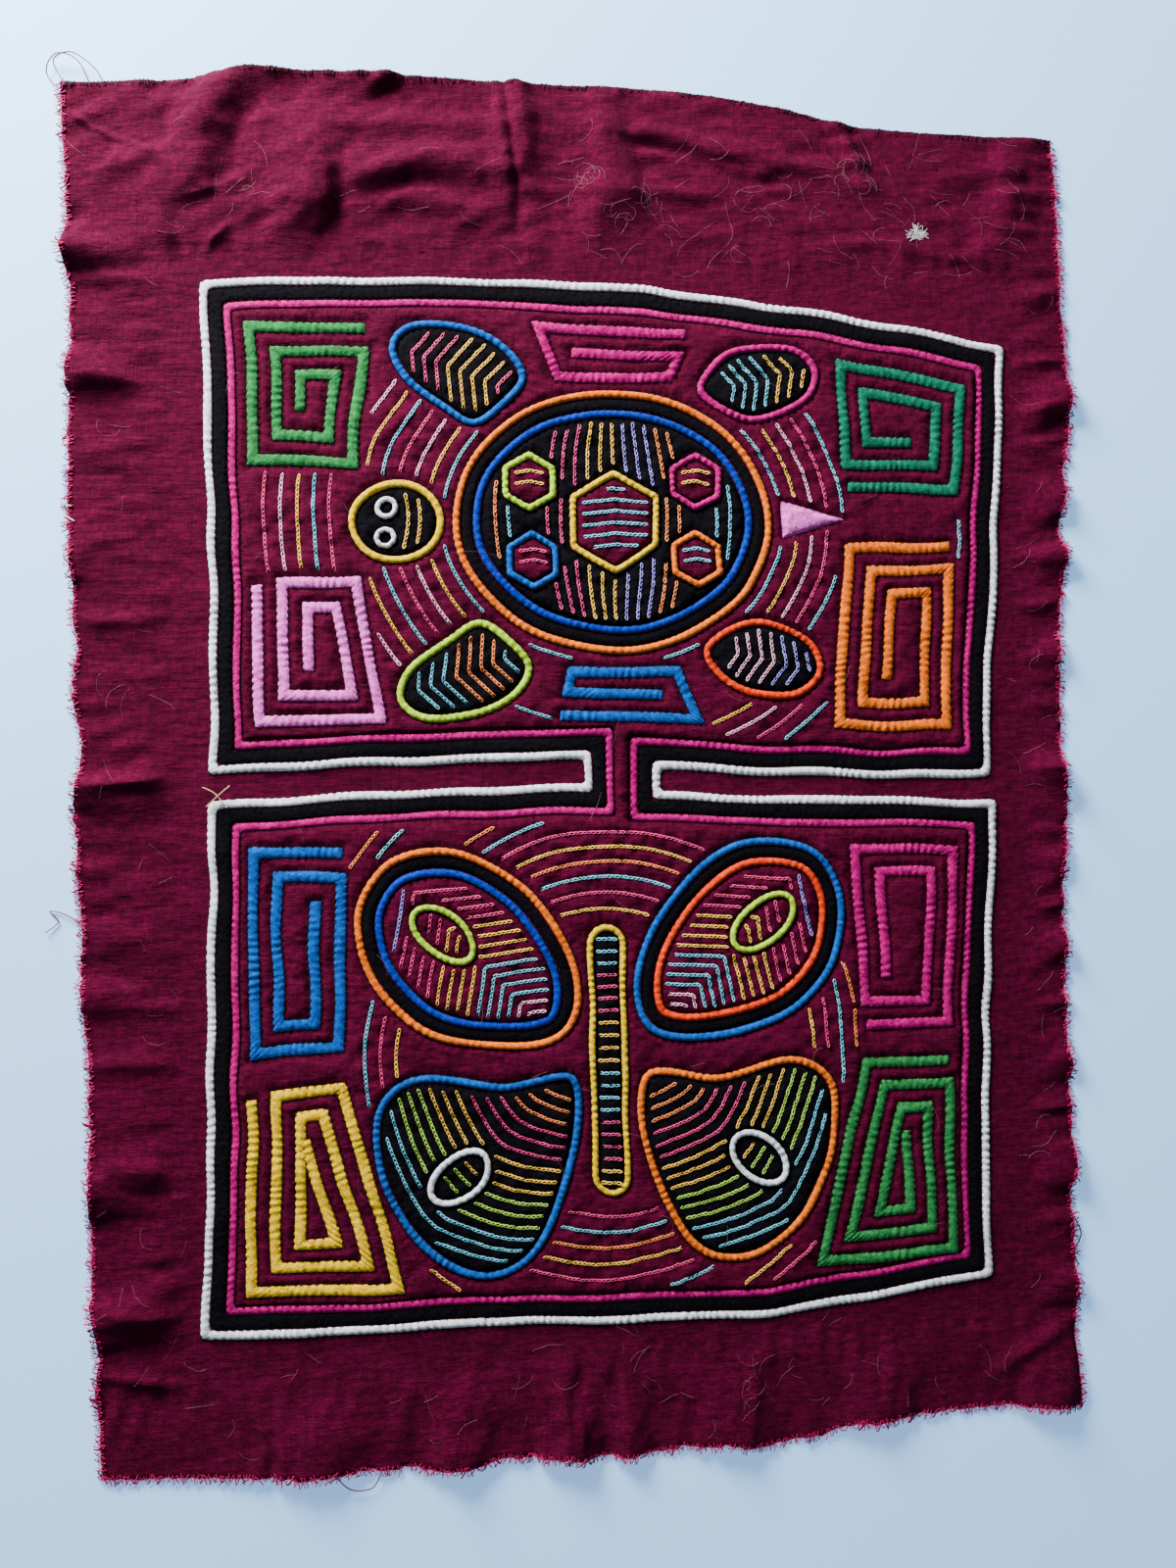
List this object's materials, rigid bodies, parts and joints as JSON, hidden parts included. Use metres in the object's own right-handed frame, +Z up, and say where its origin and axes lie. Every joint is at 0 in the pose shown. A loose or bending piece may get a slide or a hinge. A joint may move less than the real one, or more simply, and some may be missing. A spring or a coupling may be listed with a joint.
{
  "type": "mola panel",
  "caption": "Flat reverse-applique cotton panel with bordered compartments, angular spirals, a turtle and a butterfly, lying loose with raw edges.",
  "frame": {"origin": "on the surface, under the middle of the whole cloth", "axes": "+Z up from the surface, +Y along the panel's long side towards the turtle, +X across it"},
  "size_m": [0.412, 0.5642, 0.0064],
  "materials": {
    "burgundy_cotton": "plain weave, slubby, matte",
    "white_cotton": "plain weave, matte",
    "black_cotton": "plain weave, matte",
    "pink_cotton": "plain weave, matte",
    "light_pink_cotton": "plain weave, matte",
    "orange_cotton": "plain weave, matte",
    "red_orange_cotton": "plain weave, matte",
    "yellow_cotton": "plain weave, matte",
    "lime_cotton": "plain weave, matte",
    "green_cotton": "plain weave, matte",
    "teal_cotton": "plain weave, matte",
    "azure_cotton": "plain weave, matte",
    "blue_cotton": "plain weave, matte"
  },
  "bodies": {
    "root": {"ground_cloth": "burgundy_cotton", "border_white": "white_cotton", "border_black": "black_cotton", "border_pink": "pink_cotton", "field_cloth": "burgundy_cotton", "spiral_upper_left_high": "green_cotton", "spiral_upper_left_low": "light_pink_cotton", "spiral_upper_middle_high": "pink_cotton", "spiral_upper_middle_low": "azure_cotton", "spiral_upper_right_high": "teal_cotton", "spiral_upper_right_low": "orange_cotton", "spiral_lower_left_high": "azure_cotton", "spiral_lower_left_low": "yellow_cotton", "spiral_lower_right_high": "pink_cotton", "spiral_lower_right_low": "green_cotton", "turtle_shell_outline": "orange_cotton", "turtle_shell_ring": "black_cotton", "turtle_shell_inner_line": "blue_cotton", "turtle_shell_patch": "black_cotton", "turtle_scute_1_outline": "yellow_cotton", "turtle_scute_1_patch": "burgundy_cotton", "turtle_scute_2_outline": "lime_cotton", "turtle_scute_2_patch": "burgundy_cotton", "turtle_scute_3_outline": "azure_cotton", "turtle_scute_3_patch": "burgundy_cotton", "turtle_scute_4_outline": "pink_cotton", "turtle_scute_4_patch": "burgundy_cotton", "turtle_scute_5_outline": "orange_cotton", "turtle_scute_5_patch": "burgundy_cotton", "turtle_head_outline": "yellow_cotton", "turtle_head_patch": "black_cotton", "turtle_eye_upper": "white_cotton", "turtle_eye_lower": "white_cotton", "turtle_flipper_front_upper_outline": "azure_cotton", "turtle_flipper_front_upper_patch": "black_cotton", "turtle_flipper_front_lower_outline": "lime_cotton", "turtle_flipper_front_lower_patch": "black_cotton", "turtle_flipper_back_upper_outline": "pink_cotton", "turtle_flipper_back_upper_patch": "black_cotton", "turtle_flipper_back_lower_outline": "red_orange_cotton", "turtle_flipper_back_lower_patch": "black_cotton", "turtle_tail": "light_pink_cotton", "butterfly_upper_wing_left_outline": "orange_cotton", "butterfly_upper_wing_left_ring": "black_cotton", "butterfly_upper_wing_left_inner_line": "blue_cotton", "butterfly_upper_wing_left_patch": "burgundy_cotton", "butterfly_upper_wing_right_outline": "azure_cotton", "butterfly_upper_wing_right_ring": "black_cotton", "butterfly_upper_wing_right_inner_line": "red_orange_cotton", "butterfly_upper_wing_right_patch": "burgundy_cotton", "butterfly_lower_wing_left_outline": "azure_cotton", "butterfly_lower_wing_left_patch": "black_cotton", "butterfly_lower_wing_right_outline": "orange_cotton", "butterfly_lower_wing_right_patch": "black_cotton", "butterfly_spot_1_left": "lime_cotton", "butterfly_spot_1_right": "lime_cotton", "butterfly_spot_2_left": "white_cotton", "butterfly_spot_2_right": "white_cotton", "butterfly_body_outline": "yellow_cotton", "butterfly_body_patch": "black_cotton"}
  },
  "joints": []
}
